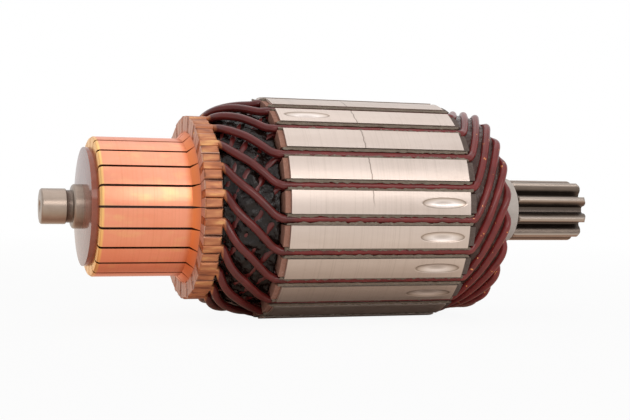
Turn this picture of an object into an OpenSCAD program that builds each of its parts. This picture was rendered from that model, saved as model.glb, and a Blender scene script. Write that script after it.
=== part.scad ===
// Armature of a small geared starter motor: a turned shaft with a pinion cut on its end carries
// a slotted lamination stack, a moulded commutator of 21 copper bars and a winding of 21 hairpin
// coils. X runs along the shaft from the commutator to the pinion, Z is up, and the origin is on
// the shaft's axis in the middle of the commutator-end journal. Millimetres.

/* [Core] */
// Outer diameter of the lamination stack
core_d = 54; // [52:0.5:56]
// Length of the lamination stack
core_len = 44.4; // [36:0.2:56]
// Number of slots, which is also the number of bars and of coils
slot_count = 21; // [21:1:21]
// Width of the slots, parallel all the way down
slot_w = 2.65; // [2.6:0.05:2.9]
// Depth of the slots, for two wires one over the other
slot_depth = 5; // [5:0.1:6]
// Distance from the origin to the stack's commutator-side face
core_x = 49.6; // [49.6:0.2:56]

/* [End discs] */
// Diameter of the fibre discs on the stack's two ends
disc_d = 52.6; // [51:0.2:53]
// Thickness of the disc on the commutator side
comm_disc_t = 1.3; // [1:0.1:1.5]
// Thickness of the disc on the pinion side
pinion_disc_t = 1.8; // [1:0.1:2]

/* [Balancing cuts] */
// Length of a milled balancing cut
balance_len = 12; // [9:0.5:14]
// Greatest width of a milled balancing cut
balance_w = 3; // [2:0.1:4]
// Distance from the pinion-side face to the middle of the cuts beside it
balance_pinion_inset = 6.8; // [6.5:0.1:10]
// Distance from the commutator-side face to the middle of the cut beside it
balance_comm_inset = 7.2; // [6.5:0.1:12]

/* [Commutator] */
// Diameter of the brush track
track_d = 32.8; // [31:0.1:33.4]
// Diameter over the risers
riser_d = 44.2; // [43:0.2:45]
// Distance from the stack's face forward to the back of the risers
riser_back_gap = 14.5; // [14.5:0.1:18]
// Length of the risers along the shaft
riser_len = 4.2; // [3:0.1:4.6]
// Length of the brush track, from its front edge to the risers
track_len = 22.5; // [18:0.5:24]
// Width of the saw cut between two bars of the track
track_gap = 0.55; // [0.4:0.05:0.8]
// Width of the gap between two risers
riser_gap = 0.75; // [0.5:0.05:1]
// Depth of the insulation below the track's surface
undercut = 0.7; // [0.4:0.1:1]
// Chamfer on the front edge of the bars
bar_chamfer = 0.5; // [0.3:0.1:1]

/* [Winding] */
// Diameter of the enamelled wire
wire_d = 1.9; // [1.6:0.05:1.95]
// Number of slots that a coil spans
coil_span = 6; // [6:1:6]
// Thickness of the slot paper
paper_t = 0.25; // [0.15:0.05:0.3]
// Length of slot paper that sticks out at each end of the stack
paper_out = 0.9; // [0.5:0.1:1]

/* [Shaft] */
// Diameter of the commutator-end journal
journal_d = 8.3; // [8:0.1:9]
// Length of the commutator-end journal, end chamfer included
journal_len = 5.8; // [5:0.1:5.8]
// Diameter of the shaft through the commutator
comm_seat_d = 10.4; // [10:0.1:12]
// Diameter of the shaft through the lamination stack
core_seat_d = 14; // [13:0.1:16]
// Outer diameter of the insulating sleeve between the stack and the pinion
sleeve_d = 16.5; // [16:0.1:18]
// Wall thickness of that sleeve
sleeve_wall = 1.6; // [1:0.1:2]
// Distance from the stack's face to the beginning of the pinion's teeth
pinion_gap = 23; // [20:0.5:24]

/* [Pinion] */
// Number of teeth
teeth = 9; // [9:1:9]
// Module of the teeth
tooth_module = 1.45; // [1.35:0.01:1.47]
// Face width of the pinion
pinion_len = 20; // [14:0.2:24]
// Chamfer on the ends of the teeth
tooth_chamfer = 1; // [0.5:0.1:1.5]

/* [Hidden] */
$fn = 96;
pitch = 360 / slot_count;
core_r = core_d / 2;
floor_r = core_r - slot_depth;
core_end_x = core_x + core_len;
// A slot lies exactly at the bottom, so the stack can rest on that slot's two edges.
bottom_angle = -90;
eps = 0.5;

// Commutator
track_r = track_d / 2;
riser_r = riser_d / 2;
riser_back_x = core_x - riser_back_gap;
riser_front_x = riser_back_x - riser_len;
bar_front_x = riser_front_x - track_len;
riser_fillet = 1.6;
riser_edge = 0.5;
bar_inner_r = 13.6;
foot_r = 11.4;
foot_inset = 1.8;
foot_undercut = 1.6;
hub_rim_r = 13.9;
hub_front_x = bar_front_x - 1.5;
hub_dome = 0.3;
hub_collar_r = 17.2;
hub_back_x = riser_back_x + 1;
riser_slot_w = 2;
riser_slot_floor_r = 18;
// Angle from a slot to the bar that takes its upper wire
bar_lead = 31.2;

// Winding: radii of the wire's centre line
slot_upper_r = 25.5;
slot_lower_r = 23.3;
riser_upper_r = 21;
riser_lower_r = 19.05;
nose_upper_r = 24.25;
nose_lower_r = 22;
nose_mid_r = (nose_upper_r + nose_lower_r) / 2;
wire_sides = 8;
wire_end_gap = riser_back_gap + riser_len - 0.1;
half_sweep = coil_span * pitch / 2;
lower_lead = (coil_span - 1) * pitch - bar_lead;

// The wire between stack and risers, in the upper and the lower layer. Each station is the
// distance from the stack's face, the share of the way round to the bar, and the share of the
// drop to the radius in the riser.
comm_upper_stations = [[1.2, 0, 0], [3, 0.05, 0.1], [5.4, 0.21, 0.16], [8.1, 0.41, 0.24],
                       [10.6, 0.58, 0.38], [12.2, 0.73, 0.56], [13.2, 0.88, 0.76],
                       [14, 1, 0.96]];
comm_lower_stations = [[1.2, 0, 0], [3, 0.05, 0.1], [5.4, 0.21, 0.16], [8, 0.42, 0.26],
                       [10.2, 0.6, 0.42], [11.6, 0.76, 0.62], [12.7, 0.9, 0.82],
                       [13.6, 1, 0.97]];
// The wire between stack and nose: the distance from the stack's face, the share of the way
// round to the nose, the share of the drop to the nose's radius, and the share of the turn
// from one layer to the other.
nose_stations = [[1.2, 0, 0, 0], [2.7, 0.05, 0.45, 0], [4.2, 0.17, 0.75, 0], [6, 0.35, 0.9, 0],
                 [8, 0.57, 1, 0], [10, 0.79, 1, 0], [11.2, 0.92, 1, 0.3]];
nose_reach = 11.6;

// Shaft
journal_x = -journal_len / 2;
journal_end_x = journal_x + journal_len;
neck_len = 1.4;
neck_r = 3.8;
collar_chamfer = 0.5;
core_seat_x = core_x - 5;
sleeve_x = core_end_x + pinion_disc_t;
pinion_x = core_end_x + pinion_gap;
pinion_end_x = pinion_x + pinion_len;
end_chamfer = 0.5;
centre_hole_r = 1.5;
centre_hole_depth = 2.6;

// Pinion: a standard full-depth tooth with a 20 degree pressure angle
pressure_angle = 20;
pitch_r = tooth_module * teeth / 2;
base_r = pitch_r * cos(pressure_angle);
tip_r = pitch_r + tooth_module;
root_r = pitch_r - 1.15 * tooth_module;
tooth_pitch = 360 / teeth;
// Turns the pinion so that two teeth face the front, one a little above and one a little below.
pinion_angle = 23.3;

function two_digits(i) = i < 10 ? str("0", i) : str(i);
function lerp(a, b, t) = a + (b - a) * t;
function slot_angle(i) = bottom_angle + i * pitch;
function bar_angle(i) = slot_angle(i) + bar_lead;

// Angles round the shaft start at -Y and rise towards +Z.
function around(x, r, a) = [x, -r * cos(a), r * sin(a)];
function in_section(r, a) = [-r * cos(a), r * sin(a)];

// Turns a shape that faces -Y round the shaft.
module at_angle(a) {
    rotate([-a, 0, 0]) children();
}

// A solid of revolution about the shaft, from a profile of [x, radius] points
module turned(profile) {
    rotate([0, 90, 0]) rotate_extrude() polygon([for (p = profile) [p[1], p[0]]]);
}

// A cross-section in Y and Z, drawn out along the shaft
module drawn(x, length) {
    translate([x, 0, 0]) rotate([90, 0, 90]) linear_extrude(length) children();
}

// ---- Shaft with its pinion ----

// Centre hole of a lathe, as a profile down to the axis
function centre_hole(x, dir) = [[x, centre_hole_r], [x + dir * centre_hole_depth, 0]];

function involute(r) = tan(acos(base_r / r)) * 180 / PI - acos(base_r / r);
flank_steps = 6;
half_tooth = 90 / teeth + involute(pitch_r);
flank = [for (i = [0:flank_steps])
             let (r = lerp(base_r, tip_r, i / flank_steps))
             [r, half_tooth - involute(r)]];
root_fillet = [[root_r, half_tooth + 4], [root_r + 0.15, half_tooth + 1.4],
               [root_r + 0.6, half_tooth]];
half_profile = concat(root_fillet, flank);
tooth_points = len(half_profile);

function pinion_outline() = [for (t = [0:teeth - 1], side = [-1, 1], k = [0:tooth_points - 1])
    let (p = half_profile[side < 0 ? k : tooth_points - 1 - k])
    in_section(p[0], pinion_angle + t * tooth_pitch + side * p[1])];

module pinion_teeth() {
    intersection() {
        drawn(pinion_x, pinion_len) polygon(pinion_outline());
        turned([[pinion_x - eps, 0], [pinion_x - eps, tip_r - tooth_chamfer - eps],
                [pinion_x + tooth_chamfer, tip_r + 0.02],
                [pinion_end_x - tooth_chamfer, tip_r + 0.02],
                [pinion_end_x + eps, tip_r - tooth_chamfer - eps], [pinion_end_x + eps, 0]]);
    }
}

module shaft() {
    sleeve_bore_r = sleeve_d / 2 - sleeve_wall;
    color("darkgray") difference() {
        union() {
            turned([[journal_x, 0], [journal_x, journal_d / 2 - end_chamfer],
                    [journal_x + end_chamfer, journal_d / 2], [journal_end_x, journal_d / 2],
                    [journal_end_x, neck_r], [journal_end_x + neck_len, neck_r],
                    [journal_end_x + neck_len, comm_seat_d / 2 - collar_chamfer],
                    [journal_end_x + neck_len + collar_chamfer, comm_seat_d / 2],
                    [core_seat_x, comm_seat_d / 2],
                    [core_seat_x + 1, core_seat_d / 2], [core_end_x + 0.4, core_seat_d / 2],
                    [core_end_x + 0.4, sleeve_bore_r], [pinion_x - 0.3, sleeve_bore_r],
                    [pinion_x - 0.3, root_r], [pinion_end_x, root_r], [pinion_end_x, 0]]);
            pinion_teeth();
        }
        turned(concat([[journal_x - eps, 0], [journal_x - eps, centre_hole_r]],
                      centre_hole(journal_x, 1)));
        turned(concat([[pinion_end_x + eps, 0], [pinion_end_x + eps, centre_hole_r]],
                      centre_hole(pinion_end_x, -1)));
    }
}

// ---- Lamination stack, end discs, slot paper and sleeve ----

// The open slots of the stack, each widened by a margin, as a cross-section
module slots(margin = 0) {
    for (i = [0:slot_count - 1])
        rotate(180 - slot_angle(i))
            translate([floor_r - margin, -slot_w / 2 - margin])
                square([slot_depth + 2 + margin, slot_w + 2 * margin]);
}

// A shallow cut left by a rounded milling cutter whose disc lies in the shaft's plane
module balance_cut(x, a) {
    depth = 0.5;
    cutter_r = (pow(balance_len / 2, 2) + depth * depth) / (2 * depth);
    edge_r = pow(balance_w / 2, 2) / (2 * depth);
    at_angle(a) translate([x, -core_r - cutter_r + depth, 0])
        rotate_extrude() translate([cutter_r - edge_r, 0]) circle(edge_r, $fn = 48);
}

module lamination_stack() {
    tooth = pitch / 2;
    color("silver") difference() {
        drawn(core_x, core_len) difference() {
            circle(core_r);
            circle(core_seat_d / 2);
            slots();
        }
        for (k = [2:5])
            balance_cut(core_end_x - balance_pinion_inset, slot_angle(k) + tooth);
        balance_cut(core_x + balance_comm_inset, slot_angle(8) + tooth);
    }
}

module end_disc(x, thickness, margin) {
    drawn(x, thickness) difference() {
        circle(disc_d / 2);
        circle(core_seat_d / 2);
        slots(margin);
    }
}

module commutator_end_disc() {
    color("sienna") end_disc(core_x - comm_disc_t, comm_disc_t, 0.1);
}

module pinion_end_disc() {
    color("dimgray") end_disc(core_end_x, pinion_disc_t, 0.3);
}

// One U of folded paper in each slot, a little longer than the stack
module slot_liners() {
    color("tan") for (i = [0:slot_count - 1])
        drawn(core_x - paper_out, core_len + 2 * paper_out)
            rotate(180 - slot_angle(i)) difference() {
                translate([floor_r, -slot_w / 2]) square([slot_depth - 0.1, slot_w]);
                translate([floor_r + paper_t, -slot_w / 2 + paper_t])
                    square([slot_depth, slot_w - 2 * paper_t]);
            }
}

module shaft_sleeve() {
    color("gainsboro") turned([[sleeve_x, sleeve_d / 2 - sleeve_wall], [sleeve_x, sleeve_d / 2],
                               [pinion_x - 0.3, sleeve_d / 2],
                               [pinion_x - 0.3, sleeve_d / 2 - sleeve_wall]]);
}

// ---- Commutator ----

// Quarter-round where the track runs out into the riser's face
riser_fillet_arc = [for (k = [0:4])
    [riser_front_x - riser_fillet * cos(k * 22.5), track_r + riser_fillet * (1 - sin(90 - k * 22.5))]];

// Side view of a bar: track, riser, and the dovetail foot that the moulding grips
bar_profile = concat(
    [[bar_front_x, bar_inner_r], [bar_front_x, track_r - bar_chamfer],
     [bar_front_x + bar_chamfer, track_r]],
    riser_fillet_arc,
    [[riser_front_x, riser_r - riser_edge], [riser_front_x + riser_edge, riser_r],
     [riser_back_x - riser_edge, riser_r], [riser_back_x, riser_r - riser_edge],
     [riser_back_x, bar_inner_r], [riser_back_x - foot_inset - foot_undercut, bar_inner_r],
     [riser_back_x - foot_inset, foot_r], [bar_front_x + foot_inset, foot_r],
     [bar_front_x + foot_inset + foot_undercut, bar_inner_r]]);

// A saw cut through the boundary between two bars
module bar_gap(x, length, width) {
    translate([x, -riser_r - 2, -width / 2]) cube([length, riser_r, width]);
}

module commutator_bar(i) {
    color("peru") at_angle(bar_angle(i)) difference() {
        rotate([-90, 0, 0]) rotate([0, 90, 0]) rotate([0, 0, -pitch / 2])
            rotate_extrude(angle = pitch) polygon([for (p = bar_profile) [p[1], p[0]]]);
        for (side = [-1, 1]) at_angle(side * pitch / 2) {
            bar_gap(bar_front_x - 1, track_len + 2, track_gap);
            bar_gap(riser_front_x, riser_len + 1, riser_gap);
        }
        translate([riser_front_x - 1, -riser_r - 2, -riser_slot_w / 2])
            cube([riser_len + 2, riser_r + 2 - riser_slot_floor_r, riser_slot_w]);
    }
}

// Moulding under the bars, with a fin up between each two of them and a domed face round the
// shaft. Its groove is the bars' own underside, foot and all.
module commutator_hub() {
    fin_r = track_r - undercut;
    fin_inset = 0.3;
    face = [for (k = [0:4]) let (t = k / 4)
        [hub_front_x - hub_dome * (1 - t * t), lerp(comm_seat_d / 2, hub_rim_r, t)]];
    groove = [[bar_front_x, bar_inner_r], [bar_front_x + foot_inset + foot_undercut, bar_inner_r],
              [bar_front_x + foot_inset, foot_r], [riser_back_x - foot_inset, foot_r],
              [riser_back_x - foot_inset - foot_undercut, bar_inner_r],
              [riser_back_x, bar_inner_r]];
    color("rosybrown") {
        turned(concat(face, [[bar_front_x, hub_rim_r]], groove,
                      [[riser_back_x, hub_collar_r], [hub_back_x, hub_collar_r],
                       [hub_back_x, comm_seat_d / 2]]));
        drawn(bar_front_x + fin_inset, riser_back_x - bar_front_x - 2 * fin_inset)
            for (i = [0:slot_count - 1])
                rotate(180 - bar_angle(i) - pitch / 2)
                    translate([foot_r - 1, -track_gap / 2]) square([fin_r - foot_r + 1, track_gap]);
    }
}

// ---- Winding ----

// Centre line of one coil, as [x, radius, angle], from its bar over the nose to the next bar
function comm_leg(stations, slot, turn, slot_r, riser_r, lead) = [for (s = stations)
    [core_x - s[0], lerp(slot_r, riser_r, s[2]), slot_angle(slot) + turn * s[1] * lead]];
function nose_leg(slot, turn, slot_r, nose_r) = [for (s = nose_stations)
    [core_end_x + s[0], lerp(lerp(slot_r, nose_r, s[2]), nose_mid_r, s[3]),
     slot_angle(slot) + turn * s[1] * half_sweep]];
function reversed(list) = [for (k = [len(list) - 1:-1:0]) list[k]];

function coil_route(i) = concat(
    [[core_x - wire_end_gap, riser_upper_r, bar_angle(i)]],
    reversed(comm_leg(comm_upper_stations, i, 1, slot_upper_r, riser_upper_r, bar_lead)),
    nose_leg(i, 1, slot_upper_r, nose_upper_r),
    [[core_end_x + nose_reach, nose_mid_r, slot_angle(i) + half_sweep]],
    reversed(nose_leg(i + coil_span, -1, slot_lower_r, nose_lower_r)),
    comm_leg(comm_lower_stations, i + coil_span, -1, slot_lower_r, riser_lower_r, lower_lead),
    [[core_x - wire_end_gap, riser_lower_r, bar_angle(i + 1)]]);

function unit(v) = v / norm(v);

// Corners of the wire's section at one point, square to its run
function ring(at, run, out) =
    let (side = unit(cross(run, out)), up = cross(side, run))
    [for (k = [0:wire_sides - 1])
        let (a = (k + 0.5) * 360 / wire_sides)
        at + wire_d / 2 * (cos(a) * side + sin(a) * up)];

module wire(route) {
    centres = [for (p = route) around(p[0], p[1], p[2])];
    outward = [for (p = route) around(0, 1, p[2])];
    last = len(centres) - 1;
    points = [for (k = [0:last])
        let (run = unit(centres[min(k + 1, last)] - centres[max(k - 1, 0)]))
        each ring(centres[k], run, outward[k])];
    sides = [for (k = [0:last - 1], j = [0:wire_sides - 1])
        let (a = k * wire_sides + j, b = k * wire_sides + (j + 1) % wire_sides)
        [a, b, b + wire_sides, a + wire_sides]];
    ends = [[for (j = [wire_sides - 1:-1:0]) j],
            [for (j = [0:wire_sides - 1]) last * wire_sides + j]];
    polyhedron(points, concat(sides, ends), convexity = 4);
}

module coil(i) {
    color("maroon") wire(coil_route(i));
}

shaft();
lamination_stack();
commutator_end_disc();
pinion_end_disc();
slot_liners();
shaft_sleeve();
commutator_hub();
for (i = [1:slot_count]) {
    commutator_bar(i - 1);
    coil(i - 1);
}
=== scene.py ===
import math
import random

import bmesh
import bpy
from mathutils import Matrix, Vector, noise


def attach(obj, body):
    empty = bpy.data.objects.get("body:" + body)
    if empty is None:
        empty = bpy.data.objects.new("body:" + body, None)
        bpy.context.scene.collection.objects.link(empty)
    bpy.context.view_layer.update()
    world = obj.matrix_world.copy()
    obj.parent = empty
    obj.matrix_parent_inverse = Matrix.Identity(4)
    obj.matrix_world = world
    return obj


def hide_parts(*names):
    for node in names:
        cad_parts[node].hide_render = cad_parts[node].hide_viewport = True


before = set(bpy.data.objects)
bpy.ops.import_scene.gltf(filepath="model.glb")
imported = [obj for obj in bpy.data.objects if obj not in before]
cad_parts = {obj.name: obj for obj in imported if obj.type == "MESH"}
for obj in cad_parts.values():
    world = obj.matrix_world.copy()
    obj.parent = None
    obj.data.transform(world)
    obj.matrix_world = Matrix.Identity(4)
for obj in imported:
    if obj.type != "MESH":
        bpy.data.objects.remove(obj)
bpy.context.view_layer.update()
MM = 0.001

# ---- Shaft with its pinion ----
# One bar of alloy steel, turned between centres. The journal and the neck are ground bright, and
# the pinion's nine teeth are hobbed on the far end and hardened, which leaves them dark brown.
JOURNAL_START = -2.9
JOURNAL_END = 2.9
JOURNAL_R = 4.15
NECK_END = 4.3
NECK_R = 3.8
HUB_SEAT_R = 5.2
CORE_SEAT_R = 7
SLEEVE_SEAT_R = 6.62
EDGE_ROUND = 0.5
CENTRE_DEPTH = 2.6
CORE_FACE = 49.6
CORE_END = 94.0
PINION_START = 117.0
PINION_END = 137.0
TEETH = 9
TOOTH_MODULE = 1.45
TIP_R = 7.97
END_ROUND = 1.1
PINION_TURN = 23.3


def around(x, r, angle):
    """A point beside the shaft, in metres: 0 degrees faces the front and 90 is up."""
    a = math.radians(angle)
    return Vector((x, -r * math.cos(a), r * math.sin(a))) * MM


def lerp(a, b, t):
    return a + (b - a) * t


def piece(name, mesh, finish, stands_for, smooth_below=35):
    """Makes a bmesh a shown piece of the rotor, in place of the CAD nodes that it stands for."""
    bmesh.ops.remove_doubles(mesh, verts=mesh.verts, dist=1e-7)
    bmesh.ops.recalc_face_normals(mesh, faces=mesh.faces)
    data = bpy.data.meshes.new(name)
    mesh.to_mesh(data)
    mesh.free()
    data.shade_smooth()
    data.set_sharp_from_angle(angle=math.radians(smooth_below))
    made = bpy.data.objects.new(name, data)
    bpy.context.collection.objects.link(made)
    data.materials.append(finish)
    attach(made, "root")
    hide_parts(*stands_for)
    return made


def grid(mesh, rows, closed_rows=True):
    """Faces between rows of points. A closed row runs back to its own first point."""
    made = [[mesh.verts.new(p) for p in row] for row in rows]
    for a, b in zip(made, made[1:]):
        for k in range(len(a) if closed_rows else len(a) - 1):
            n = (k + 1) % len(a)
            mesh.faces.new((a[k], a[n], b[n], b[k]))
    return made


def turned(mesh, profile, steps=128):
    """A solid of revolution about the shaft, from (x, radius) points that start and end on it."""
    start, *rims, end = profile
    rows = [[around(x, r, 360 * k / steps) for k in range(steps)] for x, r in rims]
    made = grid(mesh, rows)
    for x, row in ((start[0], made[0]), (end[0], made[-1])):
        middle = mesh.verts.new(around(x, 0, 0))
        for k in range(steps):
            mesh.faces.new((row[k], row[(k + 1) % steps], middle))


def node(tree, kind, inputs=None, **settings):
    """Adds a shader node and gives its first output. Inputs are values or other nodes' outputs."""
    made = tree.nodes.new("ShaderNode" + kind)
    for name, value in settings.items():
        setattr(made, name, value)
    for socket, value in (inputs or {}).items():
        if isinstance(value, bpy.types.NodeSocket):
            tree.links.new(value, made.inputs[socket])
        else:
            made.inputs[socket].default_value = value
    return made.outputs[0]


def finish(name, **levels):
    """A new surface finish, with its tree of nodes and its shader. Levels are plain settings."""
    material = bpy.data.materials.new(name)
    material.use_nodes = True
    tree = material.node_tree
    shader = tree.nodes["Principled BSDF"]
    for socket, value in levels.items():
        shader.inputs[socket.replace("_", " ")].default_value = value
    return material, tree, shader


def maths(tree, operation, a, b=0.5, clamp=False):
    return node(tree, "Math", {0: a, 1: b}, operation=operation, use_clamp=clamp)


def grain(tree, sizes, detail=3.0, roughness=0.5, seed=0.0):
    """Noise whose lumps are about as long as sizes says, in millimetres along X, Y and Z."""
    place = node(tree, "TexCoord")
    place = place.node.outputs["Object"]
    scaled = node(tree, "Mapping", {"Vector": place, "Location": (seed, seed, seed),
                                    "Scale": [1000 / s for s in sizes]})
    return node(tree, "TexNoise", {"Vector": scaled, "Scale": 1.0, "Detail": detail,
                                   "Roughness": roughness})


def ramp(tree, factor, *stops):
    """A colour ramp with (position, colour) stops; a colour may be one grey level."""
    made = tree.nodes.new("ShaderNodeValToRGB")
    tree.links.new(factor, made.inputs[0])
    elements = made.color_ramp.elements
    while len(elements) < len(stops):
        elements.new(0.5)
    for element, (position, colour) in zip(elements, stops):
        element.position = position
        element.color = (*colour, 1) if isinstance(colour, tuple) else (colour,) * 3 + (1,)
    return made.outputs[0]


def mixed(tree, factor, a, b, how="MIX"):
    made = tree.nodes.new("ShaderNodeMix")
    made.data_type = "RGBA"
    made.blend_type = how
    for socket, value in ((made.inputs[0], factor), (made.inputs[6], a), (made.inputs[7], b)):
        if isinstance(value, bpy.types.NodeSocket):
            tree.links.new(value, socket)
        elif isinstance(value, tuple):
            socket.default_value = (*value, 1)
        else:
            socket.default_value = value
    return made.outputs[2]


def place_on_rotor(tree):
    """Sockets with a point's distance along the shaft and from its axis, in millimetres."""
    place = node(tree, "TexCoord").node.outputs["Object"]
    parts = node(tree, "SeparateXYZ", {0: place}).node
    squares = [maths(tree, "MULTIPLY", parts.outputs[k], parts.outputs[k]) for k in (1, 2)]
    radius = maths(tree, "SQRT", maths(tree, "ADD", *squares))
    return [maths(tree, "MULTIPLY", socket, 1000.0) for socket in (parts.outputs[0], radius)]


def band(tree, value, start, end, soft):
    """1 between start and end, running out to 0 over soft on both sides."""
    rise = node(tree, "MapRange", {"Value": value, "From Min": start - soft, "From Max": start})
    fall = node(tree, "MapRange", {"Value": value, "From Min": end, "From Max": end + soft,
                                   "To Min": 1.0, "To Max": 0.0})
    return maths(tree, "MULTIPLY", rise, fall)


def bump(tree, shader, height, distance, strength=1.0, under=None):
    """Gives the shader a bump of that height in millimetres."""
    inputs = {"Height": height, "Distance": distance * MM, "Strength": strength}
    if under is not None:
        inputs["Normal"] = under
    normal = node(tree, "Bump", inputs)
    tree.links.new(normal, shader.inputs["Normal"])
    return normal


def ground_and_hardened_steel():
    material, tree, shader = finish("ground_and_hardened_steel", Metallic=0.9, IOR=2.2)
    along, radius = place_on_rotor(tree)
    blotches = grain(tree, (5, 4, 4), 4, 0.6)
    rings = grain(tree, (0.12, 30, 30), 2, 0.6, seed=3.0)
    ground = mixed(tree, blotches, (0.30, 0.225, 0.18), (0.50, 0.41, 0.34))
    hardened = mixed(tree, blotches, (0.075, 0.055, 0.043), (0.22, 0.17, 0.135))
    # Painted shade: the gaps between the pinion's teeth are painted nearly black towards their
    # roots.
    root = band(tree, radius, 4.0, 6.3, 0.8)
    hardened = mixed(tree, maths(tree, "MULTIPLY", root, 0.75), hardened, (0.022, 0.015, 0.012))
    lands = band(tree, radius, 7.75, 9.0, 0.35)
    hardened = mixed(tree, lands, hardened, (0.42, 0.35, 0.30))
    on_pinion = band(tree, along, PINION_START - 0.4, 140.0, 0.2)
    colour = mixed(tree, on_pinion, ground, hardened)
    # Painted shade: the neck, a groove between the journal and the collar, is painted darker.
    neck = band(tree, along, JOURNAL_END - 0.1, NECK_END - 0.1, 0.15)
    colour = mixed(tree, maths(tree, "MULTIPLY", neck, 0.7), colour, (0.10, 0.07, 0.055))
    colour = mixed(tree, maths(tree, "MULTIPLY", rings, 0.35), colour, (0.20, 0.16, 0.14))
    tree.links.new(colour, shader.inputs["Base Color"])
    rough = node(tree, "MapRange", {"Value": blotches, "To Min": 0.27, "To Max": 0.45})
    tree.links.new(rough, shader.inputs["Roughness"])
    bump(tree, shader, rings, 0.02, 0.6)
    return material


def pinion_outline(points_on_flank=8):
    """One turn of the toothed section, as (radius, angle) points."""
    pressure = math.radians(20)
    pitch_r = TOOTH_MODULE * TEETH / 2
    base_r = pitch_r * math.cos(pressure)
    tip_r = pitch_r + TOOTH_MODULE
    root_r = pitch_r - 1.15 * TOOTH_MODULE

    def involute(r):
        a = math.acos(min(1, base_r / r))
        return math.degrees(math.tan(a) - a)

    half_tooth = 90 / TEETH + involute(pitch_r)
    half = [(root_r, half_tooth + 4.6), (root_r + 0.12, half_tooth + 1.8),
            (root_r + 0.6, half_tooth)]
    for k in range(points_on_flank + 1):
        r = lerp(base_r, tip_r - 0.12, k / points_on_flank)
        half.append((r, half_tooth - involute(r)))
    land = half_tooth - involute(tip_r)
    half += [(tip_r - 0.03, land * 0.9), (tip_r, land * 0.62), (tip_r, 0.0)]
    points = []
    for tooth in range(TEETH):
        centre = PINION_TURN + tooth * 360 / TEETH
        points += [(r, centre - a) for r, a in half]
        points += [(r, centre + a) for r, a in reversed(half[:-1])]
    return points


def rounded_reach(depth, corner, full):
    """How far out a rounded end reaches, at a depth below its face."""
    if depth >= corner:
        return full
    return full - corner + math.sqrt(max(0, corner ** 2 - (corner - depth) ** 2))


shaft = bmesh.new()
front_edge = [(JOURNAL_START + EDGE_ROUND * (1 - math.cos(a)),
               JOURNAL_R - EDGE_ROUND + EDGE_ROUND * math.sin(a))
              for a in (0.0, 0.5, 1.0, 1.35, math.pi / 2)]
journal = [(JOURNAL_START + CENTRE_DEPTH, 0), (JOURNAL_START + 0.15, 1.4), (JOURNAL_START, 1.6)]
journal += front_edge
journal += [(JOURNAL_END - 0.12, JOURNAL_R), (JOURNAL_END, JOURNAL_R - 0.1)]
neck = [(JOURNAL_END, NECK_R + 0.05), (JOURNAL_END + 0.1, NECK_R), (NECK_END - 0.1, NECK_R),
        (NECK_END, NECK_R + 0.1)]
collar = [(NECK_END, 4.65), (NECK_END + 0.18, 4.98), (NECK_END + 0.5, HUB_SEAT_R)]
inside_core = [(CORE_FACE - 5, HUB_SEAT_R), (CORE_FACE - 4, CORE_SEAT_R),
               (CORE_END + 0.4, CORE_SEAT_R), (CORE_END + 0.4, SLEEVE_SEAT_R)]
before_teeth = [(PINION_START - 0.3, SLEEVE_SEAT_R), (PINION_START - 0.3, 4.6),
                (PINION_START + 0.5, 4.6), (PINION_START + 0.5, 0)]
turned(shaft, journal + neck + collar + inside_core + before_teeth)
depths = [0, 0.04, 0.15, 0.33, 0.6, 0.9, END_ROUND]
layers = [(PINION_START + d, d) for d in depths]
layers += [(PINION_END - d, d) for d in reversed(depths)]
outline = pinion_outline()
rows = [[around(PINION_START, 2.0, a) for _, a in outline]]
for x, depth in layers:
    reach = rounded_reach(depth, END_ROUND, TIP_R)
    rows.append([around(x, min(r, reach), a) for r, a in outline])
rows.append([around(PINION_END, 1.65, a) for _, a in outline])
rows.append([around(PINION_END - 0.15, 1.45, a) for _, a in outline])
teeth = grid(shaft, rows)
for row, x in ((teeth[0], PINION_START), (teeth[-1], PINION_END - CENTRE_DEPTH)):
    middle = shaft.verts.new(around(x, 0, 0))
    for k, corner in enumerate(row):
        shaft.faces.new((corner, row[(k + 1) % len(row)], middle))
steel = ground_and_hardened_steel()
piece("shaft_with_pinion", shaft, steel, ["shaft"], 30)

# ---- Lamination stack ----
# Some ninety punched sheets of silicon steel, pressed on the shaft and skimmed in a lathe, which
# draws fine rings round the teeth. Five shallow cuts of a rounded cutter balance the rotor.
CORE_R = 27.0
SLOTS = 21
PITCH = 360 / SLOTS
SLOT_W = 2.65
FLOOR_R = 22.0


def slot_angle(i):
    return -90 + i * PITCH


def open_sheet_joint(tree, along):
    """1 on the dark line where two sheets stand a hair apart, round the upper front teeth."""
    height = node(tree, "SeparateXYZ", {0: node(tree, "TexCoord").node.outputs["Object"]}).node
    slant = maths(tree, "MULTIPLY", height.outputs[2], 45.0)
    wander = maths(tree, "MULTIPLY", grain(tree, (40, 1.5, 1.5), 3, 0.6, seed=17.0), 0.9)
    leaning = maths(tree, "ADD", maths(tree, "ADD", along, slant), wander)
    line = band(tree, leaning, 69.95, 70.05, 0.14)
    upper = band(tree, height.outputs[2], 0.0035, 0.030, 0.003)
    front = band(tree, height.outputs[1], -0.030, -0.008, 0.003)
    return maths(tree, "MULTIPLY", line, maths(tree, "MULTIPLY", upper, front))


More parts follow.
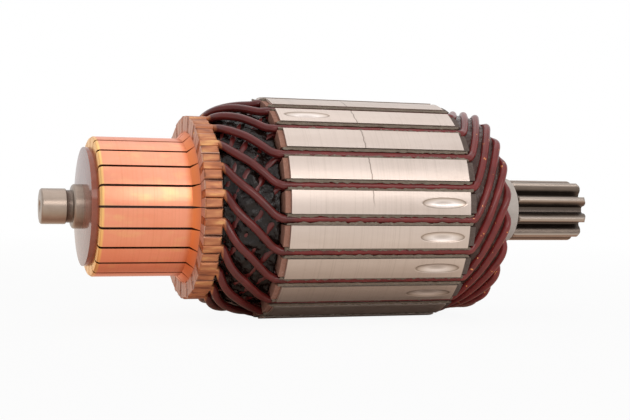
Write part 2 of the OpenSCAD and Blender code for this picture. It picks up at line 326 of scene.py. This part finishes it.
def skimmed_sheets():
    material, tree, shader = finish("skimmed_sheets", Metallic=0.8, IOR=2.0)
    along, radius = place_on_rotor(tree)
    tint = grain(tree, (16, 3, 3), 3, 0.55, seed=1.0)
    rings = grain(tree, (0.35, 60, 60), 3, 0.7, seed=5.0)
    fine = grain(tree, (0.13, 25, 25), 2, 0.7, seed=9.0)
    colour = mixed(tree, tint, (0.55, 0.455, 0.40), (0.66, 0.565, 0.51))
    dark_rings = ramp(tree, rings, (0.32, 1.0), (0.5, 0.0))
    colour = mixed(tree, maths(tree, "MULTIPLY", dark_rings, 0.25), colour, (0.36, 0.29, 0.24))
    open_joint = maths(tree, "MULTIPLY", open_sheet_joint(tree, along), 0.75)
    colour = mixed(tree, open_joint, colour, (0.13, 0.09, 0.07))
    # Painted light and shade by depth below the skin: a painted dark rim at each balancing cut's
    # edge, a painted highlight across its slope, and painted shade deeper down, on the slot walls
    # and the stack's ends.
    depth = maths(tree, "SUBTRACT", CORE_R, radius)
    cut = ramp(tree, depth, (0.03, (0.60, 0.51, 0.45)), (0.07, (0.27, 0.20, 0.155)),
               (0.17, (0.55, 0.46, 0.40)), (0.40, (0.80, 0.72, 0.68)), (0.62, (0.30, 0.23, 0.19)))
    colour = mixed(tree, band(tree, radius, 5.0, CORE_R - 0.06, 0.03), colour, cut)
    tree.links.new(colour, shader.inputs["Base Color"])
    rough = node(tree, "MapRange", {"Value": rings, "To Min": 0.28, "To Max": 0.46})
    tree.links.new(rough, shader.inputs["Roughness"])
    first = bump(tree, shader, rings, 0.05, 0.5)
    bump(tree, shader, fine, 0.02, 0.5, under=first)
    return material


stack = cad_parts["lamination_stack"]
stack.data.materials.clear()
stack.data.materials.append(skimmed_sheets())

# ---- End discs ----
# Punched from pressed fibre and pushed on against the stack: red-brown at the commutator, grey
# at the pinion. They keep the wire off the sharp edges of the slots.


def pressed_fibre(name, dark, light, dust):
    material, tree, shader = finish(name, Roughness=0.75, IOR=1.45)
    mottle = grain(tree, (1.6, 1.2, 1.2), 5, 0.65, seed=2.0)
    fibres = grain(tree, (0.25, 0.5, 0.5), 3, 0.6, seed=7.0)
    colour = mixed(tree, mottle, dark, light)
    colour = mixed(tree, ramp(tree, fibres, (0.55, 0.0), (0.8, 0.6)), colour, dust)
    tree.links.new(colour, shader.inputs["Base Color"])
    bump(tree, shader, fibres, 0.12, 0.7)
    return material


for name, disc_finish in (
        ("commutator_end_disc", pressed_fibre("red_fibre", (0.26, 0.105, 0.065),
                                              (0.52, 0.27, 0.20), (0.62, 0.45, 0.37))),
        ("pinion_end_disc", pressed_fibre("grey_fibre", (0.075, 0.05, 0.042),
                                          (0.17, 0.125, 0.105), (0.30, 0.25, 0.22)))):
    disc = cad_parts[name]
    disc.data.materials.clear()
    disc.data.materials.append(disc_finish)

# ---- Slot paper ----
# A U of brown insulating paper lines each slot. Its torn edges stand up beside the wire and stick
# out of the stack's two ends in tufts, stiff with varnish.
PAPER_T = 0.25
PAPER_OUT = 0.9


def varnished_paper():
    material, tree, shader = finish("varnished_paper", Roughness=0.6, IOR=1.45)
    mottle = grain(tree, (1.5, 0.8, 0.8), 5, 0.7, seed=4.0)
    fibres = grain(tree, (0.5, 0.2, 0.2), 3, 0.6, seed=8.0)
    colour = mixed(tree, mottle, (0.10, 0.068, 0.045), (0.30, 0.24, 0.18))
    colour = mixed(tree, ramp(tree, fibres, (0.55, 0.0), (0.78, 0.7)), colour,
                   (0.52, 0.46, 0.38))
    tree.links.new(colour, shader.inputs["Base Color"])
    bump(tree, shader, fibres, 0.1, 0.8)
    return material


def slot_point(x, i, r, side):
    """A point in slot i, that far out and that far to the side of its middle plane."""
    a = math.radians(slot_angle(i))
    out = Vector((0, -math.cos(a), math.sin(a)))
    across = Vector((0, math.sin(a), math.cos(a)))
    return (Vector((x, 0, 0)) + out * r + across * side) * MM


paper = bmesh.new()
tears = random.Random(21)
LIP = 0.72
for i in range(SLOTS):
    stations = 110
    start = CORE_FACE - PAPER_OUT
    length = CORE_END - CORE_FACE + 2 * PAPER_OUT
    half = SLOT_W / 2 - 0.01
    rows = []
    for k in range(stations + 1):
        x = start + length * k / stations
        fray = max(0, 1 - min(k, stations - k) / 3)
        walls = []
        for side in (-1, 1):
            torn = noise.noise(Vector((x * 0.8, i * 7.3, side * 3.1)))
            tuft = noise.noise(Vector((x * 4.3, i * 3.7, side * 9.7)))
            lean = LIP + 0.34 * torn + 0.22 * tuft - 0.3 * fray * tears.random()
            lift = 0.1 * torn + 0.14 * tuft + 0.25 * fray * (tears.random() - 0.4)
            walls.append([(FLOOR_R + 0.02, half), (26.25, half), (26.66 + lift, half - 0.12),
                          (26.52 + lift, half - lean), (26.34 + lift, half - lean),
                          (26.36, half - PAPER_T), (25.9, half - PAPER_T),
                          (FLOOR_R + PAPER_T, half - PAPER_T)])
        push = [0.45 * fray * (tears.random() - 0.5) for _ in range(16)]
        section = [(r, -s) for r, s in walls[0]] + [(r, s) for r, s in reversed(walls[1])]
        rows.append([slot_point(x + dx, i, r, s) for dx, (r, s) in zip(push, section)])
    made = grid(paper, rows)
    for row in (made[0], made[-1]):
        for corners in ((0, 1, 6, 7), (1, 2, 5, 6), (2, 3, 4, 5), (15, 14, 9, 8),
                        (14, 13, 10, 9), (13, 12, 11, 10), (0, 7, 8, 15)):
            paper.faces.new([row[c] for c in corners])
piece("slot_papers", paper, varnished_paper(), ["slot_liners"], 50)

# ---- Shaft sleeve ----
# A moulded tube of pale insulation, pushed on the shaft between the stack and the pinion.


def pale_tube():
    material, tree, shader = finish("pale_tube", Roughness=0.5, IOR=1.45)
    mottle = grain(tree, (3, 3, 3), 4, 0.6, seed=6.0)
    colour = mixed(tree, mottle, (0.52, 0.45, 0.40), (0.68, 0.62, 0.57))
    tree.links.new(colour, shader.inputs["Base Color"])
    bump(tree, shader, mottle, 0.05, 0.4)
    return material


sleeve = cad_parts["shaft_sleeve"]
sleeve.data.materials.clear()
sleeve.data.materials.append(pale_tube())

# ---- Commutator hub ----
# Brown phenolic moulded round the copper bars, in one shot, with a nearly flat, glossy face. Thin
# fins of it stand between the bars, and the saw has cut them back below the brush track.


def moulded_phenolic():
    material, tree, shader = finish("moulded_phenolic", Roughness=0.13, IOR=1.5,
                                    Specular_IOR_Level=0.32)
    radius = place_on_rotor(tree)[1]
    mottle = grain(tree, (2, 2, 2), 5, 0.6, seed=11.0)
    colour = mixed(tree, mottle, (0.30, 0.085, 0.052), (0.42, 0.155, 0.110))
    # Painted shade: the fins between the bars and the hub close under them are painted nearly
    # black.
    painted_shade_between_bars = band(tree, radius, 14.4, 20.0, 0.3)
    colour = mixed(tree, painted_shade_between_bars, colour, (0.055, 0.022, 0.012))
    tree.links.new(colour, shader.inputs["Base Color"])
    bump(tree, shader, mottle, 0.02, 0.25)
    return material


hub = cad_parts["commutator_hub"]
hub.data.materials.clear()
hub.data.materials.append(moulded_phenolic())

# ---- Commutator bars ----
# Twenty-one wedges of hard copper. The brush track is turned with a fine feed, the gaps are sawn,
# and each riser is slotted for two wires and staked over them, so no two tips are quite alike.
BAR_FRONT = 8.4
RISER_FRONT = 30.9
RISER_BACK = 35.1
TRACK_R = 16.4
RISER_R = 22.1
BAR_LEAD = 31.2
BAR_INNER_R = 13.6
FILLET = 1.6
TRACK_GAP = 0.55
RISER_GAP = 0.2
TIP_GAP = 0.34
WIRE_SLOT_HALF = 0.97
WIRE_SLOT_FLOOR_R = 18.0
RISER_MIDDLE = (RISER_FRONT + RISER_BACK) / 2
CORNER = 0.32
# Steps of a riser's side view: 1 and 2 stand above the wire slot's floor
SHOULDER = 3
TOP = 4


def bar_angle(i):
    return slot_angle(i) + BAR_LEAD


def round_the_rotor(tree):
    """A socket with a point's distance round the rotor at the risers' rim, in millimetres."""
    parts = node(tree, "SeparateXYZ", {0: node(tree, "TexCoord").node.outputs["Object"]}).node
    turn = maths(tree, "ARCTAN2", parts.outputs[2], parts.outputs[1])
    return maths(tree, "MULTIPLY", turn, RISER_R)


def staked_metal(tree, seed):
    """The colour of copper that has been hammered, heated and turned: streaks along the shaft."""
    streaks = grain(tree, (6, 1.5, 1.5), 3, 0.5, seed=seed)
    return ramp(tree, streaks, (0.30, (0.24, 0.08, 0.042)), (0.46, (0.46, 0.16, 0.07)),
                (0.58, (0.58, 0.23, 0.10)), (0.74, (0.82, 0.46, 0.18)))


def turned_copper():
    material, tree, shader = finish("turned_copper", IOR=1.8)
    along, radius = place_on_rotor(tree)
    rings = grain(tree, (0.22, 40, 40), 3, 0.7, seed=13.0)
    broad = grain(tree, (9, 5, 5), 4, 0.6, seed=14.0)
    patches = grain(tree, (5, 2.5, 2.5), 3, 0.5, seed=15.0)
    colour = mixed(tree, broad, (0.82, 0.28, 0.155), (0.90, 0.40, 0.27))
    yellow = ramp(tree, patches, (0.54, 0.0), (0.72, 1.0))
    colour = mixed(tree, maths(tree, "MULTIPLY", yellow, 0.4), colour, (0.86, 0.50, 0.23))
    dark_rings = ramp(tree, rings, (0.30, 1.0), (0.48, 0.0))
    colour = mixed(tree, maths(tree, "MULTIPLY", dark_rings, 0.3), colour, (0.66, 0.23, 0.12))
    heated = band(tree, along, RISER_FRONT - 1.3, RISER_FRONT + 1.0, 1.7)
    colour = mixed(tree, maths(tree, "MULTIPLY", heated, 0.85), colour, (0.80, 0.22, 0.06))
    spokes = node(tree, "CombineXYZ", {0: round_the_rotor(tree)})
    spokes = node(tree, "TexNoise", {"Vector": spokes, "Scale": 2.2, "Detail": 3.0})
    faced = mixed(tree, spokes, (0.48, 0.24, 0.17), (0.90, 0.62, 0.48))
    colour = mixed(tree, band(tree, radius, 18.6, 21.7, 0.8), colour, faced)
    colour = mixed(tree, band(tree, radius, 21.75, 30.0, 0.2), colour, staked_metal(tree, 16.0))
    # Painted highlight: the rounded front edges of the bars are painted golden yellow, as glints
    # of light on them.
    front = band(tree, along, BAR_FRONT - 1, BAR_FRONT + 0.7, 0.35)
    colour = mixed(tree, maths(tree, "MULTIPLY", front, 0.85), colour, (0.92, 0.56, 0.20))
    # Painted shade: the bars' sides below the brush track, in the saw gaps, are painted nearly
    # black.
    painted_shade_in_gaps = band(tree, radius, 10.0, TRACK_R - 0.35, 0.2)
    not_riser = band(tree, along, BAR_FRONT + 0.4, RISER_FRONT, 0.2)
    colour = mixed(tree, maths(tree, "MULTIPLY", painted_shade_in_gaps, not_riser), colour, (0.16, 0.05, 0.02))
    tree.links.new(colour, shader.inputs["Base Color"])
    on_riser = band(tree, radius, 18.0, 30.0, 1.0)
    bright = node(tree, "MapRange", {"Value": on_riser, "To Min": 0.95, "To Max": 0.55})
    tree.links.new(bright, shader.inputs["Metallic"])
    rough = node(tree, "MapRange", {"Value": broad, "To Min": 0.30, "To Max": 0.44})
    rough = maths(tree, "ADD", rough, maths(tree, "MULTIPLY", on_riser, 0.2))
    tree.links.new(rough, shader.inputs["Roughness"])
    bump(tree, shader, rings, 0.03, 0.5)
    return material


def saw_gap(x, tier):
    """Width of the cut between two bars: open on the track, nearly closed at the risers."""
    if tier == TOP:
        return TIP_GAP
    if tier > 0 or x >= RISER_FRONT:
        return RISER_GAP
    return lerp(RISER_GAP, TRACK_GAP, min(1, (RISER_FRONT - x) / FILLET))


copper = turned_copper()
staking = random.Random(5)
fillet = [(RISER_FRONT - FILLET * math.cos(a), TRACK_R + FILLET * (1 - math.cos(a)))
          for a in [math.radians(15 * k) for k in range(7)]]
side_view = ([(BAR_FRONT, BAR_INNER_R, 0), (BAR_FRONT, TRACK_R - 0.75, 0),
              (BAR_FRONT + 0.2, TRACK_R - 0.3, 0), (BAR_FRONT + 0.7, TRACK_R, 0)]
             + [(x, r, 0) for x, r in fillet]
             + [(RISER_FRONT, 18.3, 1), (RISER_FRONT, 20.0, 2),
                (RISER_FRONT, RISER_R - CORNER, SHOULDER), (RISER_FRONT + CORNER, RISER_R, TOP),
                (RISER_BACK - CORNER, RISER_R, TOP), (RISER_BACK, RISER_R - CORNER, SHOULDER),
                (RISER_BACK, 20.0, 2), (RISER_BACK, 18.3, 1), (RISER_BACK, BAR_INNER_R, 0)])
half_bar = [(0, 0), (0.13, 0), (0.5, 0), (0.87, 0), (1, 0), (1, 1)]
stations = ([(-1, share, in_slot) for share, in_slot in half_bar] + [(0, 0, 1)]
            + [(1, share, in_slot) for share, in_slot in reversed(half_bar)])
for i in range(SLOTS):
    bar = bmesh.new()
    centre = bar_angle(i)
    stake = [(staking.uniform(-0.3, 0.0), staking.uniform(-0.15, 0.15)) for _ in range(2)]
    lean = [staking.uniform(-0.6, 0.6) for _ in range(2)]
    rows = []
    for side, share, in_slot in stations:
        row = []
        for x, r, tier in side_view:
            finger = 0 if side < 0 else 1
            half = PITCH / 2 - math.degrees(math.asin(saw_gap(x, tier) / 2 / r))
            if in_slot and tier > 0:
                r = WIRE_SLOT_FLOOR_R
            elif tier >= SHOULDER:
                r += stake[finger][0] - (CORNER if tier == TOP and share in (0, 1) else 0)
                x += stake[finger][1] * (0.5 if x > RISER_MIDDLE else 0)
            inner = math.degrees(math.asin(WIRE_SLOT_HALF / r))
            a = side * lerp(half, inner, share)
            if not in_slot and tier >= SHOULDER:
                a += lean[finger] * (0.5 if tier == SHOULDER else 1)
            row.append(around(x, r, centre + a))
        rows.append(row)
    made = grid(bar, rows)
    bar.faces.new(made[0])
    bar.faces.new(made[-1])
    number = f"{i + 1:02d}"
    made_bar = piece(f"copper_bar_{number}", bar, copper,
                     [f"commutator_bar_{number}"], 35)
    edges = made_bar.modifiers.new("edges", "BEVEL")
    edges.width = 0.13 * MM
    edges.segments = 2
    edges.limit_method = "ANGLE"
    edges.angle_limit = math.radians(40)

# ---- Winding ----
# Twenty-one hairpins of thick enamelled copper wire. Each goes down one slot in the upper layer,
# turns over beyond the stack, comes back six slots on in the lower layer, and both of its ends
# are staked into the risers of two neighbouring bars.
WIRE_R = 0.95
COIL_SPAN = 6
SLOT_UPPER_R = 25.5
SLOT_LOWER_R = 23.3
RISER_UPPER_R = 21.0
RISER_LOWER_R = 19.05
NOSE_UPPER_R = 24.25
NOSE_LOWER_R = 22.0
NOSE_REACH = 11.6
HALF_SWEEP = COIL_SPAN * PITCH / 2
LOWER_LEAD = (COIL_SPAN - 1) * PITCH - BAR_LEAD
WIRE_END = CORE_FACE - 18.6
UPPER_TO_BAR = [(1.2, 0, 0), (3, 0.05, 0.1), (5.4, 0.21, 0.16), (8.1, 0.41, 0.24),
                (10.6, 0.58, 0.38), (12.2, 0.73, 0.56), (13.2, 0.88, 0.76), (14, 1, 0.96)]
LOWER_TO_BAR = [(1.2, 0, 0), (3, 0.05, 0.1), (5.4, 0.21, 0.16), (8, 0.42, 0.26),
                (10.2, 0.6, 0.42), (11.6, 0.76, 0.62), (12.7, 0.9, 0.82), (13.6, 1, 0.97)]
TO_NOSE = [(1.2, 0, 0, 0), (2.7, 0.05, 0.45, 0), (4.2, 0.17, 0.75, 0), (6, 0.35, 0.9, 0),
           (8, 0.57, 1, 0), (10, 0.79, 1, 0), (11.2, 0.92, 1, 0.3)]


def bar_leg(stations, slot, turn, slot_r, riser_r, lead):
    return [(CORE_FACE - out, lerp(slot_r, riser_r, drop), slot_angle(slot) + turn * sweep * lead)
            for out, sweep, drop in stations]


def nose_leg(slot, turn, slot_r, nose_r):
    middle = (NOSE_UPPER_R + NOSE_LOWER_R) / 2
    return [(CORE_END + out, lerp(lerp(slot_r, nose_r, settle), middle, over),
             slot_angle(slot) + turn * sweep * HALF_SWEEP)
            for out, sweep, settle, over in TO_NOSE]


def coil_route(i):
    upper = bar_leg(UPPER_TO_BAR, i, 1, SLOT_UPPER_R, RISER_UPPER_R, BAR_LEAD)
    lower = bar_leg(LOWER_TO_BAR, i + COIL_SPAN, -1, SLOT_LOWER_R, RISER_LOWER_R, LOWER_LEAD)
    return ([(WIRE_END, RISER_UPPER_R, bar_angle(i))] + upper[::-1]
            + nose_leg(i, 1, SLOT_UPPER_R, NOSE_UPPER_R)
            + [(CORE_END + NOSE_REACH, (NOSE_UPPER_R + NOSE_LOWER_R) / 2,
                slot_angle(i) + HALF_SWEEP)]
            + nose_leg(i + COIL_SPAN, -1, SLOT_LOWER_R, NOSE_LOWER_R)[::-1]
            + lower + [(WIRE_END, RISER_LOWER_R, bar_angle(i + 1))])


def eased(route, spacing):
    """A smooth run through the stations that never swings past them, with points that far
    apart. Each of x, radius and angle keeps its own direction between two stations."""
    points = [around(*p) / MM for p in route]
    reach = [0.0]
    for a, b in zip(points, points[1:]):
        reach.append(reach[-1] + (b - a).length)
    tangents = []
    for axis in range(3):
        slopes = [(route[k + 1][axis] - route[k][axis]) / (reach[k + 1] - reach[k])
                  for k in range(len(route) - 1)]
        inner = []
        for k in range(1, len(slopes)):
            a, b = slopes[k - 1], slopes[k]
            ha, hb = reach[k] - reach[k - 1], reach[k + 1] - reach[k]
            if a * b <= 0:
                inner.append(0.0)
            else:
                wa, wb = 2 * hb + ha, hb + 2 * ha
                inner.append((wa + wb) / (wa / a + wb / b))
        tangents.append([slopes[0]] + inner + [slopes[-1]])
    run = []
    for k in range(len(route) - 1):
        h = reach[k + 1] - reach[k]
        steps = max(1, round(h / spacing)) if h < 20 else 6
        for s in range(steps):
            t = s / steps
            h00, h10 = (1 + 2 * t) * (1 - t) ** 2, t * (1 - t) ** 2
            h01, h11 = t * t * (3 - 2 * t), t * t * (t - 1)
            run.append(tuple(h00 * route[k][axis] + h10 * h * tangents[axis][k]
                             + h01 * route[k + 1][axis] + h11 * h * tangents[axis][k + 1]
                             for axis in range(3)))
    return run + [route[-1]]


def red_enamel():
    material, tree, shader = finish("red_enamel", IOR=1.45, Specular_IOR_Level=0.35,
                                    Coat_Weight=0.3, Coat_Roughness=0.12, Coat_IOR=1.5)
    along = place_on_rotor(tree)[0]
    tone = grain(tree, (3, 3, 3), 4, 0.6, seed=21.0)
    nicks = grain(tree, (1.6, 0.9, 0.9), 2, 0.5, seed=22.0)
    # Painted light: behind the stack the same enamel is painted a brighter red than in front of
    # it.
    behind = band(tree, along, CORE_FACE + 2, CORE_END + 20, 2.0)
    front_red = mixed(tree, tone, (0.055, 0.006, 0.005), (0.20, 0.021, 0.018))
    rear_red_painted_light = mixed(tree, tone, (0.085, 0.009, 0.008), (0.31, 0.030, 0.027))
    colour = mixed(tree, behind, front_red, rear_red_painted_light)
    worn = ramp(tree, nicks, (0.70, 0.0), (0.73, 1.0))
    worn = maths(tree, "MULTIPLY", worn, band(tree, along, CORE_END - 3, CORE_END + 20, 0.5))
    stripped = band(tree, along, 0, RISER_BACK + 0.2, 0.5)
    bare = maths(tree, "MAXIMUM", worn, stripped)
    metal = mixed(tree, stripped, (0.90, 0.36, 0.13), staked_metal(tree, 18.0))
    colour = mixed(tree, bare, colour, metal)
    tree.links.new(colour, shader.inputs["Base Color"])
    tree.links.new(maths(tree, "MULTIPLY", bare, 0.6), shader.inputs["Metallic"])
    rough = node(tree, "MapRange", {"Value": tone, "To Min": 0.28, "To Max": 0.46})
    rough = maths(tree, "ADD", rough, maths(tree, "MULTIPLY", stripped, 0.2))
    tree.links.new(rough, shader.inputs["Roughness"])
    bump(tree, shader, tone, 0.05, 0.4)
    return material


def squashed(part, power):
    return math.copysign(abs(part) ** power, part)


enamel = red_enamel()
ROUND = 16
WIRE_STEP = 0.55
for i in range(SLOTS):
    route = eased(coil_route(i), WIRE_STEP)
    run = [around(*p) for p in route]
    outward = [around(0, 1, p[2]) / MM for p in route]
    wire = bmesh.new()
    rows = []
    for k, at in enumerate(run):
        ahead = (run[min(k + 1, len(run) - 1)] - run[max(k - 1, 0)]).normalized()
        side = ahead.cross(outward[k]).normalized()
        up = side.cross(ahead)
        staked = min(1, max(0, (RISER_BACK + 0.9 - at.x / MM) / 1.0))
        power = lerp(1.0, 0.35, staked)
        rows.append([at + WIRE_R * MM * (squashed(math.cos(a), power) * side
                                         + squashed(math.sin(a), power) * up)
                     for a in [2 * math.pi * (j + 0.5) / ROUND for j in range(ROUND)]])
    made = grid(wire, rows)
    wire.faces.new(made[0])
    wire.faces.new(made[-1])
    number = f"{i + 1:02d}"
    piece(f"hairpin_{number}", wire, enamel, [f"coil_{number}"], 60)

# ---- Winding varnish ----
# The finished winding is dipped in varnish and baked. It sets dark and glossy between the wires,
# in lumps and webs that almost bury the lower layer; in front of the stack its skin is painted
# nearly black, which is the varnish and also painted shade in the deep gaps between the wires.


def baked_varnish(name, dark, light, seed):
    material, tree, shader = finish(name, Roughness=0.12, IOR=1.36)
    tone = grain(tree, (2.0, 1.4, 1.4), 5, 0.65, seed=seed)
    ripples = grain(tree, (0.9, 0.9, 0.9), 3, 0.6, seed=seed + 1)
    colour = mixed(tree, tone, dark, light)
    tree.links.new(colour, shader.inputs["Base Color"])
    bump(tree, shader, ripples, 0.35, 0.8)
    return material


def varnish_skin(name, profile, lump, coat):
    """A closed ring of varnish about the shaft, with lumps of that height on its outside."""
    skin = bmesh.new()
    steps = 420
    rows = []
    for x, r, share in profile:
        row = []
        for k in range(steps):
            angle = 360 * k / steps
            at = around(x, r, angle) / MM
            lift = noise.fractal(at * 0.3, 0.9, 2.0, 2) + 0.35 * noise.noise(at * 1.1)
            row.append(around(x, r + lift * lump * share, angle))
        rows.append(row)
    rows.append(rows[0])
    grid(skin, rows)
    piece(name, skin, coat, [], 180)


lower_drop = [(CORE_FACE - out, lerp(SLOT_LOWER_R, RISER_LOWER_R, drop))
              for out, sweep, drop in LOWER_TO_BAR]


def lower_layer_r(x):
    """How far out the lower layer lies between the stack and the risers."""
    for (xa, ra), (xb, rb) in zip(lower_drop, lower_drop[1:]):
        if xb <= x <= xa:
            return lerp(ra, rb, (xa - x) / (xa - xb))
    return lower_drop[0][1] if x > lower_drop[0][0] else lower_drop[-1][1]


front_skin = [(RISER_BACK + 0.3, 17.6, 0)]
for k in range(31):
    x = lerp(RISER_BACK + 0.3, CORE_FACE - 1.6, k / 30)
    front_skin.append((x, lower_layer_r(x) + lerp(1.25, 0.85, min(1, k / 22)), 1))
front_skin += [(CORE_FACE - 1.4, 22.2, 0), (CORE_FACE - 1.4, 17.6, 0)]
# The front skin is painted nearly black: the varnish, and painted shade in the deep gaps between
# the wires.
varnish_skin("front_varnish_and_painted_shade", front_skin, 0.75,
             baked_varnish("black_varnish_and_painted_shade", (0.004, 0.0025, 0.002), (0.018, 0.008, 0.006), 31.0))
rear_skin = [(CORE_END + 1.85, 19.8, 0), (CORE_END + 1.85, 24.0, 0)]
for out, r in ((2.4, 24.5), (3.2, 24.5), (4.2, 24.4), (5.2, 24.3), (6.2, 24.25), (7.2, 24.2),
               (8.2, 24.15), (9.2, 24.1), (10, 23.95), (10.7, 23.6), (11.2, 23.1), (11.4, 22.6),
               (11.3, 22.0), (10.9, 21.5), (10.2, 21.1)):
    rear_skin.append((CORE_END + out, r, 1))
rear_skin += [(CORE_END + 9.4, 20.6, 0), (CORE_END + 6, 19.8, 0)]
varnish_skin("rear_varnish", rear_skin, 0.3,
             baked_varnish("brown_varnish", (0.022, 0.010, 0.008), (0.13, 0.062, 0.048), 41.0))

# ---- Studio ----
# A pale table and a soft white tent. The lamps hang in front and above, so the rotor is
# brightest a little above the middle and falls off to brown underneath.
TABLE_Z = -CORE_R * MM
CORE_MIDDLE = (CORE_FACE + CORE_END) / 2 * MM
floor_mesh = bmesh.new()
for corner in ((-3, -3), (3, -3), (3, 3), (-3, 3)):
    floor_mesh.verts.new((*corner, TABLE_Z))
floor_mesh.faces.new(floor_mesh.verts)
floor_data = bpy.data.meshes.new("table")
floor_mesh.to_mesh(floor_data)
floor_mesh.free()
table = bpy.data.objects.new("table", floor_data)
bpy.context.collection.objects.link(table)
white, tree, shader = finish("white_table", Roughness=0.9)
shader.inputs["Base Color"].default_value = (0.85, 0.85, 0.85, 1)
rays = node(tree, "LightPath").node
from_rotor = node(tree, "VectorMath", {0: node(tree, "TexCoord").node.outputs["Object"]},
                  operation="LENGTH").node.outputs["Value"]
to_camera = node(tree, "MapRange", {"Value": from_rotor, "From Min": 0.15, "From Max": 0.5,
                                    "To Min": 0.93, "To Max": 1.0})
to_camera = maths(tree, "MULTIPLY", to_camera,
                  maths(tree, "MAXIMUM", rays.outputs["Is Camera Ray"],
                        rays.outputs["Is Transmission Ray"]))
# Metal sees the table white, but with a painted shadow and painted reflection close under the
# rotor:
# dim and warm there, as if the rotor shaded and tinted it; the copper ends throw back more of that
# light than the core does.
on_table = node(tree, "SeparateXYZ", {0: node(tree, "TexCoord").node.outputs["Object"]}).node
beside = maths(tree, "MULTIPLY", maths(tree, "ABSOLUTE", on_table.outputs[1]), 10.0)
past_core = maths(tree, "ABSOLUTE", maths(tree, "SUBTRACT", on_table.outputs[0], CORE_MIDDLE))
past_core = node(tree, "MapRange", {"Value": past_core, "From Min": 0.022, "From Max": 0.042})
under_core = ramp(tree, beside, (0.12, (0.05, 0.032, 0.024)), (0.20, (0.36, 0.27, 0.21)),
                  (0.32, (0.80, 0.69, 0.59)), (0.6, (1.1, 1.02, 0.93)), (1.0, (1.1, 1.06, 1.02)))
under_ends = ramp(tree, beside, (0.0, (0.50, 0.30, 0.21)), (0.1, (0.80, 0.54, 0.42)),
                  (0.25, (0.95, 0.82, 0.68)), (0.6, (1.05, 0.99, 0.92)))
mirrored_with_painted_shade = mixed(tree, past_core, under_core, under_ends)
seen_colour = mixed(tree, rays.outputs["Is Glossy Ray"], (1.0, 1.0, 1.0), mirrored_with_painted_shade)
glow = node(tree, "Emission", {"Color": seen_colour, "Strength": 1.0})
surface = tree.nodes.new("ShaderNodeMixShader")
tree.links.new(maths(tree, "MAXIMUM", to_camera, rays.outputs["Is Glossy Ray"]),
               surface.inputs[0])
tree.links.new(shader.outputs[0], surface.inputs[1])
tree.links.new(glow, surface.inputs[2])
tree.links.new(surface.outputs[0], tree.nodes["Material Output"].inputs["Surface"])
floor_data.materials.append(white)

world = bpy.data.worlds.new("tent")
bpy.context.scene.world = world
world.use_nodes = True
tree = world.node_tree
rays = node(tree, "LightPath").node
seen = maths(tree, "MAXIMUM", rays.outputs["Is Camera Ray"], rays.outputs["Is Transmission Ray"])
towards = node(tree, "SeparateXYZ", {0: node(tree, "TexCoord").node.outputs["Generated"]}).node
behind = node(tree, "MapRange", {"Value": towards.outputs[1], "From Min": -0.2, "From Max": 0.5,
                                 "To Min": 0.85, "To Max": 1.0})
in_metal = maths(tree, "MULTIPLY", rays.outputs["Is Glossy Ray"], behind)
level = maths(tree, "MAXIMUM", maths(tree, "MAXIMUM", in_metal, seen), 0.35)
backdrop = tree.nodes["Background"]
backdrop.inputs["Color"].default_value = (1, 1, 1, 1)
tree.links.new(level, backdrop.inputs["Strength"])


def lamp(name, place, aim, size, power, colour):
    data = bpy.data.lights.new(name, "AREA")
    data.shape = "RECTANGLE"
    data.size, data.size_y = size
    data.energy = power
    data.color = colour
    made = bpy.data.objects.new(name, data)
    bpy.context.collection.objects.link(made)
    made.location = place
    made.rotation_euler = (Vector(aim) - Vector(place)).to_track_quat("-Z", "Y").to_euler()


lamp("key", (0.2, -0.85, 0.40), (0.06, 0, 0), (0.9, 0.26), 2.7, (1.0, 0.96, 0.93))
lamp("top", (0.1, 0.0, 0.9), (0.06, 0, 0), (1.4, 0.9), 2.5, (1.0, 0.98, 0.97))

# The camera stands a foot off, a little to the commutator's side and just above the axis.
AIM = Vector((0.0644, 0, -0.0004))
ROUND_TO_COMMUTATOR = math.radians(-19.14)
ABOVE = math.radians(1.2)
away = Vector((math.sin(ROUND_TO_COMMUTATOR) * math.cos(ABOVE),
               -math.cos(ROUND_TO_COMMUTATOR) * math.cos(ABOVE), math.sin(ABOVE)))
camera_data = bpy.data.cameras.new("camera")
camera_data.lens = 71.86
camera_data.sensor_width = 36
camera_data.clip_start = 0.01
camera = bpy.data.objects.new("camera", camera_data)
bpy.context.collection.objects.link(camera)
camera.matrix_world = (Matrix.Translation(AIM + away * 0.3124)
                       @ (-away).to_track_quat("-Z", "Y").to_matrix().to_4x4()
                       @ Matrix.Rotation(math.radians(0.875), 4, "Z"))
bpy.context.scene.camera = camera
bpy.context.scene.view_settings.view_transform = "Standard"
